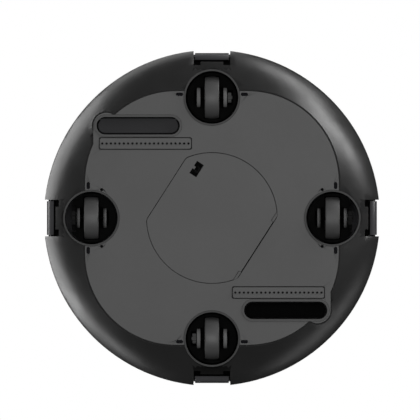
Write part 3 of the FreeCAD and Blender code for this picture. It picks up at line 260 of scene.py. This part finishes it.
def stretched(nodes, links, source, low, high):
    """The middle of a noise's span stretched between two values."""
    item = nodes.new("ShaderNodeMapRange")
    item.inputs["From Min"].default_value = NOISE_SPAN[0]
    item.inputs["From Max"].default_value = NOISE_SPAN[1]
    item.inputs["To Min"].default_value = low
    item.inputs["To Max"].default_value = high
    links.new(source, item.inputs["Value"])
    return item.outputs["Result"]


def mixed_colour(nodes, links, factor, first, second):
    mix = nodes.new("ShaderNodeMix")
    mix.data_type = "RGBA"
    mix.inputs[MIX_FIRST].default_value = (*first, 1)
    mix.inputs[MIX_SECOND].default_value = (*second, 1)
    links.new(factor, mix.inputs[0])
    return mix.outputs[MIX_RESULT]


def moulded(name, colour, roughness, grain=0.02, grain_size=0.5, spread=0.08, coat=0.0, metallic=0.0,
            stretch=(1, 1, 1)):
    """Moulded plastic, rubber or metal: faint cloudy colour, uneven sheen and a fine grain.

    grain is the grain's depth and grain_size its spacing, in millimetres. spread is the colour's variation.
    """
    material = bpy.data.materials.new(name)
    material.use_nodes = True
    nodes, links = material.node_tree.nodes, material.node_tree.links
    shader = nodes["Principled BSDF"]
    clouds = spot_noise(nodes, links, CLOUD_SCALE, 4)
    rubbed = spot_noise(nodes, links, RUB_SCALE, 6)
    fine = spot_noise(nodes, links, 1 / (grain_size * MM), 2, stretch)
    darker = tuple(channel * (1 - spread) for channel in colour)
    lighter = tuple(channel * (1 + spread) for channel in colour)
    links.new(mixed_colour(nodes, links, stretched(nodes, links, clouds, 0, 1), darker, lighter),
              shader.inputs["Base Color"])
    links.new(stretched(nodes, links, rubbed, roughness * ROUGHNESS_SPAN[0],
                        min(roughness * ROUGHNESS_SPAN[1], 1)),
              shader.inputs["Roughness"])
    bump = nodes.new("ShaderNodeBump")
    bump.inputs["Strength"].default_value = min(grain * GRAIN_STRENGTH, 1)
    bump.inputs["Distance"].default_value = grain * MM
    links.new(fine, bump.inputs["Height"])
    links.new(bump.outputs[0], shader.inputs["Normal"])
    shader.inputs["Metallic"].default_value = metallic
    shader.inputs["Coat Weight"].default_value = coat
    shader.inputs["Coat Roughness"].default_value = COAT_ROUGHNESS
    return material


def grey(value):
    return (value, value, value)


STEEL = {"metallic": 1.0}
BRUSHED_STEEL = {"metallic": 1.0, "stretch": (1, 12, 12)}
COATED = {"coat": 0.3}
LENS_COAT = {"coat": 0.6}
# for each of the record's slots: name, colour, roughness, grain, grain_size, spread, and what else differs
PAINTS = {
    "shell_plastic": ("shell_satin", grey(0.013), 0.36, 0.012, 0.35, 0.06, {}),
    "base_plastic": ("base_matte", grey(0.071), 0.72, 0.03, 0.45, 0.03, {}),
    "well_plastic": ("well_black", grey(0.0015), 0.75, 0.02, 0.5, 0.1, {}),
    "deck_plastic": ("deck_satin", (0.030, 0.030, 0.032), 0.4, 0.015, 0.4, 0.06, {"coat": 0.1}),
    "bumper_rubber": ("bumper_soft", (0.018, 0.018, 0.019), 0.75, 0.03, 0.5, 0.1, {}),
    "latch_plastic": ("latch_satin", (0.034, 0.034, 0.036), 0.42, 0.015, 0.4, 0.06, {}),
    "pin_steel": ("pin_steel", (0.05, 0.05, 0.052), 0.35, 0.01, 0.3, 0.1, BRUSHED_STEEL),
    "strip_plastic": ("strip_matte", grey(0.074), 0.66, 0.02, 0.4, 0.03, {}),
    "sensor_lens": ("lens_smoked", (0.004, 0.004, 0.005), 0.12, 0.002, 1.0, 0.1, LENS_COAT),
    "screw_steel": ("screw_black", (0.06, 0.06, 0.062), 0.42, 0.01, 0.3, 0.1, STEEL),
    "cover_plastic": ("cover_matte", grey(0.072), 0.72, 0.03, 0.45, 0.03, {}),
    "black_plastic": ("fork_black", grey(0.0015), 0.7, 0.02, 0.5, 0.1, {}),
    "duct_plastic": ("duct_dark", (0.030, 0.030, 0.031), 0.55, 0.02, 0.5, 0.08, {}),
    "flap_rubber": ("flap_dark", (0.022, 0.022, 0.023), 0.6, 0.02, 0.6, 0.08, {}),
    "flap_black": ("flap_black", grey(0.0015), 0.8, 0.02, 0.6, 0.1, {}),
    "hub_plastic": ("hub_black", (0.02, 0.02, 0.021), 0.5, 0.02, 0.5, 0.1, {}),
    "tyre_rubber": ("tyre_grey", grey(0.020), 0.6, 0.03, 0.4, 0.08, {}),
    "motor_steel": ("motor_zinc", (0.5, 0.5, 0.49), 0.35, 0.01, 0.6, 0.08, STEEL),
    "spring_steel": ("spring_steel", (0.4, 0.4, 0.41), 0.3, 0.01, 0.3, 0.1, STEEL),
    "gear_plastic": ("gear_acetal", grey(0.010), 0.45, 0.01, 0.5, 0.05, {}),
    "train_plastic": ("train_black", grey(0.004), 0.5, 0.01, 0.5, 0.05, {}),
    "impeller_plastic": ("impeller_acetal", (0.35, 0.35, 0.34), 0.4, 0.01, 0.6, 0.05, {}),
    "grille_plastic": ("grille_black", grey(0.012), 0.55, 0.015, 0.4, 0.06, {}),
    "lid_plastic": ("lid_satin", (0.022, 0.022, 0.024), 0.4, 0.008, 0.6, 0.05, {}),
    "battery_wrap": ("battery_wrap", (0.02, 0.06, 0.18), 0.3, 0.01, 2.0, 0.08, COATED),
    "board_green": ("board_mask", (0.01, 0.09, 0.04), 0.35, 0.01, 1.0, 0.1, COATED),
    "bin_plastic": ("bin_smoked", (0.05, 0.05, 0.055), 0.2, 0.005, 1.0, 0.05, COATED),
    "filter_paper": ("filter_paper", (0.7, 0.69, 0.64), 0.9, 0.05, 0.8, 0.05, {}),
    "button_plastic": ("button_satin", (0.08, 0.08, 0.083), 0.38, 0.01, 0.4, 0.04, {}),
}

paint_of = {slot: moulded(*values, **extra) for slot, (*values, extra) in PAINTS.items()}
for part in RECORD["subparts"]:
    slots = NODES[part["node"]].data.materials
    slots.clear()
    slots.append(paint_of[part["material_slot"]])


# ---------------------------------------------------------------- faces of a second colour

def repaint(node, material, chosen):
    """Give a second material to the faces whose middles are chosen."""
    mesh = NODES[node].data
    mesh.materials.append(material)
    index = len(mesh.materials) - 1
    for face in mesh.polygons:
        if chosen(face.center):
            face.material_index = index


CUP_LIP = 8.75 * MM
DUCT_LIP = 8.6 * MM
CHEEK_TOP = 18.9 * MM
CHEEK_SPAN = 11.2 * MM, 15.8 * MM
CHEEK_REACH = 10.5 * MM
PLATE_TOP = 9.6 * MM
COVER_REACH = 72 * MM
GROOVE_DEPTH = 9.1 * MM
STRIP_FACE = 8.5 * MM
NOTCH_REACH = 150 * MM, 165.4 * MM
NOTCH_HALF_WIDTH = 19 * MM
NOTCH_TOP = 69 * MM
LATCH_SHADOW = 159.9 * MM


def on_cheek(spot, middle):
    """Tells the part of a wheel carrier's cheeks that hangs below its turntable."""
    out = abs(spot.x - middle.x)
    return (spot.z < CHEEK_TOP and CHEEK_SPAN[0] < out < CHEEK_SPAN[1]
            and abs(spot.y - middle.y) < CHEEK_REACH)


def in_latch_notch(spot):
    """Tells the faces inside the rim's latch notches, which are painted near-black as painted shadow."""
    out, side = sorted((abs(spot.x), abs(spot.y)), reverse=True)
    return NOTCH_REACH[0] < out < NOTCH_REACH[1] and side < NOTCH_HALF_WIDTH and spot.z < NOTCH_TOP


# painted highlight: the well cups' lips are painted lighter than the near-black cups, as a light ring where
# their rims catch the light
cup_lip_highlight_paint = moulded("cup_lip_painted_highlight", grey(0.040), 0.7, 0.02, 0.45, 0.03)
# painted highlight: the suction ducts' lips are painted lighter than the ducts, as a light line along their
# rims
duct_lip_highlight_paint = moulded("duct_lip_painted_highlight", grey(0.058), 0.6, 0.02, 0.45, 0.03)
cheek_paint = moulded("cheek_grey", grey(0.088), 0.55, 0.02, 0.4, 0.06)
collar_paint = moulded("collar_grey", grey(0.045), 0.5, 0.02, 0.4, 0.06)
# painted shadow: near-black paint for the faces of grooves, holes, notches and gaps that stand in shade
shadow_paint = moulded("painted_shadow_black", grey(0.0015), 0.8, 0.02, 0.5, 0.1)

# the well cups' lips get the painted highlight
repaint("well_cups", cup_lip_highlight_paint, lambda spot: spot.z < CUP_LIP)
# the suction ducts' lips get the painted highlight
for node in ("suction_duct_front", "suction_duct_rear"):
    repaint(node, duct_lip_highlight_paint, lambda spot: spot.z < DUCT_LIP)
for node in CARRIERS:
    middle = node_centre(node)
    repaint(node, cheek_paint, lambda spot: on_cheek(spot, middle))
for end in CASTER_ENDS:
    middle = node_centre(f"caster_tyre_{end}")
    repaint(f"caster_axle_{end}", collar_paint, lambda spot: abs(spot.x - middle.x) > CHEEK_SPAN[1])
# the cover's hinge lugs are part of the shell, and show in the plate's colour
repaint("lower_shell", paint_of["base_plastic"],
        lambda spot: spot.z < PLATE_TOP and math.hypot(spot.x, spot.y) < COVER_REACH)
# painted shadow: the plate's and cover's faces above their lower face, in the grooves round them and on
# their hidden upper sides, are painted near-black
for node in ("base_plate", "service_cover"):
    repaint(node, shadow_paint, lambda spot: spot.z > GROOVE_DEPTH)
# painted shadow: the brush strips' faces above their lower face, in the tuft holes and on the side walls,
# are painted near-black
repaint("brush_strips", shadow_paint, lambda spot: spot.z > STRIP_FACE)
# painted shadow inside the rim's latch notches
for node in ("lower_shell", "upper_housing"):
    repaint(node, shadow_paint, in_latch_notch)
# painted shadow: the latch levers' faces nearer the middle than LATCH_SHADOW, in the groove behind each bar,
# are painted near-black
for node in LATCHES:
    repaint(node, shadow_paint, lambda spot: max(abs(spot.x), abs(spot.y)) < LATCH_SHADOW)


# ---------------------------------------------------------------- rounded edges

# width of the rounding in millimetres
SOFT_EDGES = {
    "upper_housing": 0.6, "lower_shell": 0.3, "base_plate": 0.25, "service_cover": 0.25, "cover_latch": 0.3,
    "brush_strips": 0.2, "well_cups": 0.3, "exhaust_grille": 0.2, "battery_pack": 1.5,
    "bin_lid": 0.8, "lid_handle": 0.5, "dust_bin": 0.3,
    "bumper_front_right": 1.2, "bumper_front_left": 1.2, "bumper_rear_left": 1.2, "bumper_rear_right": 1.2,
    **{latch: 0.5 for latch in LATCHES},
    **{carrier: 0.3 for carrier in CARRIERS},
}
WELD_REACH = 0.002 * MM
SHARP_ANGLE = math.radians(40)


def soften(node, width):
    """Round a part's sharp edges by a width in millimetres."""
    joined = NODES[node].modifiers.new("joined", "WELD")
    joined.merge_threshold = WELD_REACH
    rounded = NODES[node].modifiers.new("rounded", "BEVEL")
    rounded.width = width * MM
    rounded.segments = 2
    rounded.limit_method = "ANGLE"
    rounded.angle_limit = SHARP_ANGLE
    rounded.harden_normals = True


for node, width in SOFT_EDGES.items():
    soften(node, width)


# ---------------------------------------------------------------- added pieces

SMOOTH_ANGLE = math.radians(35)


def mesh_piece(name, build, body, slot):
    """A mesh filled in by build, riding on a body and finished as one of the record's slots."""
    mesh = bpy.data.meshes.new(name)
    shape = bmesh.new()
    build(shape)
    bmesh.ops.recalc_face_normals(shape, faces=shape.faces)
    shape.to_mesh(mesh)
    shape.free()
    mesh.materials.append(paint_of[slot])
    piece = bpy.data.objects.new(name, mesh)
    bpy.context.scene.collection.objects.link(piece)
    with bpy.context.temp_override(object=piece, selected_editable_objects=[piece]):
        bpy.ops.object.shade_auto_smooth(angle=SMOOTH_ANGLE)
    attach(piece, body)
    return piece


def ring_places(count):
    """The cosine and sine of evenly spaced turns."""
    turns = (math.tau * index / count for index in range(count))
    return [(math.cos(turn), math.sin(turn)) for turn in turns]


def bridge(shape, first, second):
    """Faces between two closed loops of as many corners."""
    count = len(first)
    for index in range(count):
        after = (index + 1) % count
        shape.faces.new((first[index], first[after], second[after], second[index]))


TUFT_COUNT = 21
TUFT_PITCH = 4.35 * MM
TUFT_ROOT = 10.2 * MM
TUFT_TIP = 7.0 * MM
TUFT_REACH = 0.85 * MM
TUFT_SPLAY = 0.25
SPLAY_SPREAD = 0.1
TIP_SPREAD = 0.35
BRISTLES = 19
BRISTLE_RADIUS = 0.13 * MM
BRISTLE_TAPER = 0.7
BRISTLE_SIDES = 6
SPIRAL_STEP = 2.4
SPIRAL_SPREAD = 0.2


def add_bristle(shape, start, end):
    """A closed tapered rod from one point to another."""
    along = (end - start).normalized()
    side = along.orthogonal().normalized()
    across = along.cross(side)
    rings = []
    for middle, radius in ((start, BRISTLE_RADIUS), (end, BRISTLE_RADIUS * BRISTLE_TAPER)):
        rings.append([shape.verts.new(middle + radius * (x * side + y * across))
                      for x, y in ring_places(BRISTLE_SIDES)])
    bridge(shape, rings[0], rings[1])
    shape.faces.new(rings[0][::-1])
    shape.faces.new(rings[1])


def bristle_row(shape, middle):
    """A row of bristle tufts, each a spiral of stiff bristles that spread a little towards their tips."""
    for place in range(TUFT_COUNT):
        centre = middle + Vector(((place - (TUFT_COUNT - 1) / 2) * TUFT_PITCH, 0, 0))
        for bristle in range(BRISTLES):
            out = math.sqrt((bristle + 0.5) / BRISTLES) * TUFT_REACH
            turn = bristle * SPIRAL_STEP + random.uniform(-SPIRAL_SPREAD, SPIRAL_SPREAD)
            step = Vector((math.cos(turn), math.sin(turn), 0)) * out
            start = Vector((centre.x, centre.y, TUFT_ROOT)) + step
            tip = Vector((centre.x, centre.y, TUFT_TIP + random.uniform(0, TIP_SPREAD) * MM))
            tip += step * (1 + TUFT_SPLAY + random.uniform(-SPLAY_SPREAD, SPLAY_SPREAD))
            add_bristle(shape, start, tip)


def half_centre(node, side):
    """The middle of the half of a node that is in front of (1) or behind (-1) the robot's centre."""
    spots = [vertex.co for vertex in NODES[node].data.vertices if vertex.co.y * side > 0]
    return Vector([(min(spot[axis] for spot in spots) + max(spot[axis] for spot in spots)) / 2
                   for axis in range(3)])


for label, side in (("front", 1), ("rear", -1)):
    middle = half_centre("brush_strips", side)
    mesh_piece(f"bristles_{label}", lambda shape: bristle_row(shape, middle), "root", "flap_black")

BUTTON_SIDES = 72
# radius and height in millimetres: flange, cap, rounded rim and dish
BUTTON_PROFILE = (
    (0.0, 80.5), (9.5, 80.5), (9.5, 83.4), (8.0, 83.4), (8.0, 86.15), (7.93, 86.5), (7.72, 86.8),
    (7.4, 86.95), (7.0, 87.0), (6.6, 86.96), (5.6, 86.84), (4.2, 86.75), (2.2, 86.7), (0.0, 86.69),
)
ICON_LOW = 86.5 * MM
ICON_HIGH = 86.92 * MM
RING_OUTER, RING_INNER = 3.4, 2.7
RING_START, RING_END = 130, 410
RING_STEPS = 40
# left, right, low and high sides of the power icon's bar, in millimetres from the button's middle
POWER_BAR = -0.35, 0.35, 0.6, 4.2
ROOF = ((-3.9, -0.1), (-3.4, -0.6), (0.0, 2.6), (3.4, -0.6), (3.9, -0.1), (0.0, 3.6))
WALLS = (
    (-2.6, -0.6), (-2.6, -3.2), (-0.7, -3.2), (-0.7, -1.2), (0.7, -1.2), (0.7, -3.2),
    (2.6, -3.2), (2.6, -0.6), (0.0, 1.8),
)


def button_cap(shape, middle):
    """A button turned from its profile."""
    rings = []
    for radius, height in BUTTON_PROFILE:
        places = ring_places(BUTTON_SIDES) if radius else [(0, 0)]
        rings.append([shape.verts.new((middle.x + radius * MM * x, middle.y + radius * MM * y, height * MM))
                      for x, y in places])
    for lower, upper in zip(rings, rings[1:]):
        for index in range(BUTTON_SIDES):
            after = (index + 1) % BUTTON_SIDES
            corners = (lower[index % len(lower)], lower[after % len(lower)],
                       upper[after % len(upper)], upper[index % len(upper)])
            shape.faces.new(list(dict.fromkeys(corners)))


def add_slab(shape, middle, outline):
    """A flat slab on the button's dish, from a plan outline in millimetres from its middle."""
    places = [(middle.x + x * MM, middle.y + y * MM) for x, y in outline]
    low = [shape.verts.new((x, y, ICON_LOW)) for x, y in places]
    high = [shape.verts.new((x, y, ICON_HIGH)) for x, y in places]
    shape.faces.new(low[::-1])
    shape.faces.new(high)
    bridge(shape, low, high)


def arc_points(radius, start, end):
    """Points along an arc, its angles in degrees."""
    turns = (math.radians(start + (end - start) * index / RING_STEPS) for index in range(RING_STEPS + 1))
    return [(radius * math.cos(turn), radius * math.sin(turn)) for turn in turns]


def power_icon(shape, middle):
    """A ring open at the top with an upright bar in its gap."""
    add_slab(shape, middle, arc_points(RING_OUTER, RING_START, RING_END)
             + arc_points(RING_INNER, RING_END, RING_START))
    left, right, low, high = POWER_BAR
    add_slab(shape, middle, ((left, low), (right, low), (right, high), (left, high)))


def home_icon(shape, middle):
    """A small house: a roof and the walls below it, with a doorway."""
    add_slab(shape, middle, ROOF)
    add_slab(shape, middle, WALLS)


for button, icon in (("power_button", power_icon), ("home_button", home_icon)):
    middle = node_centre(button)
    cap = mesh_piece(f"{button}_cap", lambda shape: button_cap(shape, middle), button, "button_plastic")
    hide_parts(button)
    mesh_piece(f"{button}_icon", lambda shape: icon(shape, middle), button, "black_plastic")

PAD_INNER = 165.2 * MM
PAD_BACK = 166.5 * MM
PAD_OUTER = 167.0 * MM
PAD_BOTTOM = 37 * MM
PAD_TOP = 61.6 * MM
PAD_BEVEL = 0.4 * MM
PAD_HALF_WIDTH = 17.1 * MM
PAD_END_ROUND = 0.4 * MM
RIB_START = 2.2 * MM
RIB_PITCH = 2.6 * MM
RIB_FACE_TOP = 1.1 * MM
RIB_WIDTH = 1.5 * MM
RIB_COUNT = 8


def grip_pad(shape, out_way):
    """A ribbed grip over a latch lever's outer face. out_way points from the robot's centre to the latch."""
    profile = [(PAD_INNER, PAD_BOTTOM), (PAD_BACK, PAD_BOTTOM + PAD_BEVEL)]
    for rib in range(RIB_COUNT):
        start = PAD_BOTTOM + RIB_START + rib * RIB_PITCH
        profile += [(PAD_BACK, start), (PAD_OUTER, start + PAD_BEVEL),
                    (PAD_OUTER, start + RIB_FACE_TOP), (PAD_BACK, start + RIB_WIDTH)]
    profile += [(PAD_BACK, PAD_TOP - PAD_BEVEL), (PAD_INNER, PAD_TOP)]
    side_way = Vector((-out_way.y, out_way.x, 0))
    rings = []
    for side, drop in ((-PAD_HALF_WIDTH, PAD_END_ROUND), (-PAD_HALF_WIDTH + PAD_END_ROUND, 0),
                       (PAD_HALF_WIDTH - PAD_END_ROUND, 0), (PAD_HALF_WIDTH, PAD_END_ROUND)):
        ring = []
        for out, height in profile:
            spot = out_way * max(out - drop, PAD_INNER) + side_way * side
            ring.append(shape.verts.new((spot.x, spot.y, height)))
        rings.append(ring)
    for first, second in zip(rings, rings[1:]):
        bridge(shape, first, second)
    shape.faces.new(rings[0][::-1])
    shape.faces.new(rings[-1])


for latch in LATCHES:
    middle = node_centre(latch)
    if abs(middle.x) > abs(middle.y):
        out_way = Vector((math.copysign(1, middle.x), 0, 0))
    else:
        out_way = Vector((0, math.copysign(1, middle.y), 0))
    mesh_piece(f"{latch}_grip", lambda shape: grip_pad(shape, out_way), latch, "latch_plastic")
